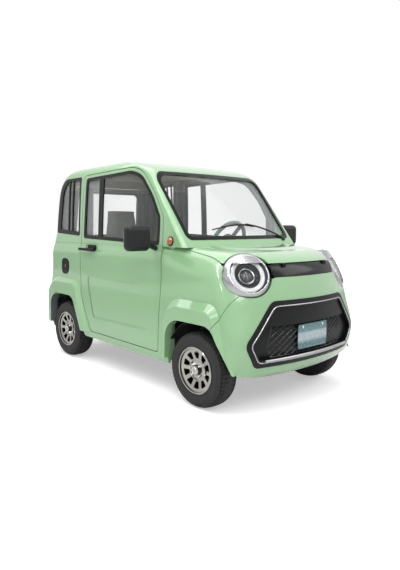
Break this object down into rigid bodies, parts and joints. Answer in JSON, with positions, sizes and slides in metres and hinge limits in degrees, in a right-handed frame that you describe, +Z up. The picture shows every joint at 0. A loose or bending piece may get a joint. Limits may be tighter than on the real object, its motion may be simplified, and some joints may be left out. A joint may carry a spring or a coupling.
{
  "type": "two-door electric microcar",
  "caption": "Small two-door electric city car with round headlamps, hinged doors, hood and tailgate, steered front wheels and a cabin with seats.",
  "frame": {"origin": "on the road, under the middle of the bounding box", "axes": "+X to the car's left, -Y ahead, +Z up"},
  "size_m": [1.676, 2.3646, 1.5754],
  "materials": {
    "battery": "satin",
    "black_trim": "gloss",
    "dash": "matte",
    "frame_steel": "satin",
    "glass": "clear",
    "lamp_red": "gloss",
    "paint": "gloss",
    "rim": "polished",
    "seat": "matte",
    "silver": "satin",
    "tyre": "matte"
  },
  "bodies": {
    "body": {"chassis_frame": "frame_steel", "battery_box": "battery", "floor_pan": "frame_steel", "front_bumper": "paint", "front_fenders": "paint", "cowl": "black_trim", "nose_strip": "black_trim", "grille": "black_trim", "headlamps": "silver", "roof_panel": "paint", "side_panel_right": "paint", "side_panel_left": "paint", "rear_panel": "paint", "windshield": "glass", "quarter_windows": "glass", "rear_axle": "frame_steel", "drive_motor": "battery", "front_seats": "seat", "rear_seat": "seat", "dashboard": "dash", "tail_lamps": "lamp_red", "lamp_cores": "black_trim", "window_frames": "black_trim", "front_suspension": "frame_steel"},
    "door_right": {"door_right": "paint", "door_glass_right": "glass", "mirror_right": "black_trim", "handle_right": "black_trim", "door_sash_right": "black_trim"},
    "door_left": {"door_left": "paint", "door_glass_left": "glass", "mirror_left": "black_trim", "handle_left": "black_trim", "door_sash_left": "black_trim"},
    "hood": {"hood": "paint"},
    "tailgate": {"tailgate": "paint", "tailgate_glass": "glass"},
    "steering_wheel": {"steering_wheel": "dash"},
    "charge_flap": {"charge_flap": "black_trim"},
    "knuckle_left": {"knuckle_left": "frame_steel"},
    "knuckle_right": {"knuckle_right": "frame_steel"},
    "wheel_front_left": {"tyre_front_left": "tyre", "rim_front_left": "rim"},
    "wheel_front_right": {"tyre_front_right": "tyre", "rim_front_right": "rim"},
    "wheel_rear_left": {"tyre_rear_left": "tyre", "rim_rear_left": "rim"},
    "wheel_rear_right": {"tyre_rear_right": "tyre", "rim_rear_right": "rim"}
  },
  "joints": [
    {"name": "steer_left", "type": "hinge", "parent": "body", "child": "knuckle_left", "pos_m": [0.44, -0.772, 0.2285], "axis": [0, 0, 1], "range_deg": [-30, 30]},
    {"name": "steer_right", "type": "hinge", "parent": "body", "child": "knuckle_right", "pos_m": [-0.44, -0.772, 0.2285], "axis": [0, 0, 1], "range_deg": [-30, 30]},
    {"name": "steering_wheel_turn", "type": "hinge", "parent": "body", "child": "steering_wheel", "pos_m": [0.25, -0.227, 0.962], "axis": [0, 0.9135, 0.4067], "range_deg": [-270, 270]},
    {"name": "spin_front_left", "type": "hinge", "parent": "knuckle_left", "child": "wheel_front_left", "pos_m": [0.53, -0.772, 0.2285], "axis": [1, 0, 0], "continuous": true},
    {"name": "spin_front_right", "type": "hinge", "parent": "knuckle_right", "child": "wheel_front_right", "pos_m": [-0.53, -0.772, 0.2285], "axis": [1, 0, 0], "continuous": true},
    {"name": "spin_rear_left", "type": "hinge", "parent": "body", "child": "wheel_rear_left", "pos_m": [0.53, 0.803, 0.2285], "axis": [1, 0, 0], "continuous": true},
    {"name": "spin_rear_right", "type": "hinge", "parent": "body", "child": "wheel_rear_right", "pos_m": [-0.53, 0.803, 0.2285], "axis": [1, 0, 0], "continuous": true},
    {"name": "door_right_hinge", "type": "hinge", "parent": "body", "child": "door_right", "pos_m": [-0.596, -0.411, 0.6], "axis": [0, 0, 1], "range_deg": [0, 62]},
    {"name": "door_left_hinge", "type": "hinge", "parent": "body", "child": "door_left", "pos_m": [0.596, -0.411, 0.6], "axis": [0, 0, -1], "range_deg": [0, 62]},
    {"name": "hood_hinge", "type": "hinge", "parent": "body", "child": "hood", "pos_m": [0, -0.62, 0.99], "axis": [-1, 0, 0], "range_deg": [0, 55]},
    {"name": "tailgate_hinge", "type": "hinge", "parent": "body", "child": "tailgate", "pos_m": [0, 1.0645, 1.4405], "axis": [1, 0, 0], "range_deg": [0, 78]},
    {"name": "charge_flap_hinge", "type": "hinge", "parent": "body", "child": "charge_flap", "pos_m": [-0.58, 0.8135, 0.751], "axis": [0, 0, 1], "range_deg": [0, 95]}
  ],
  "couplings": [
    {"joint": "steer_right", "follows": "steer_left", "ratio": 1},
    {"joint": "steering_wheel_turn", "follows": "steer_left", "ratio": 9}
  ]
}
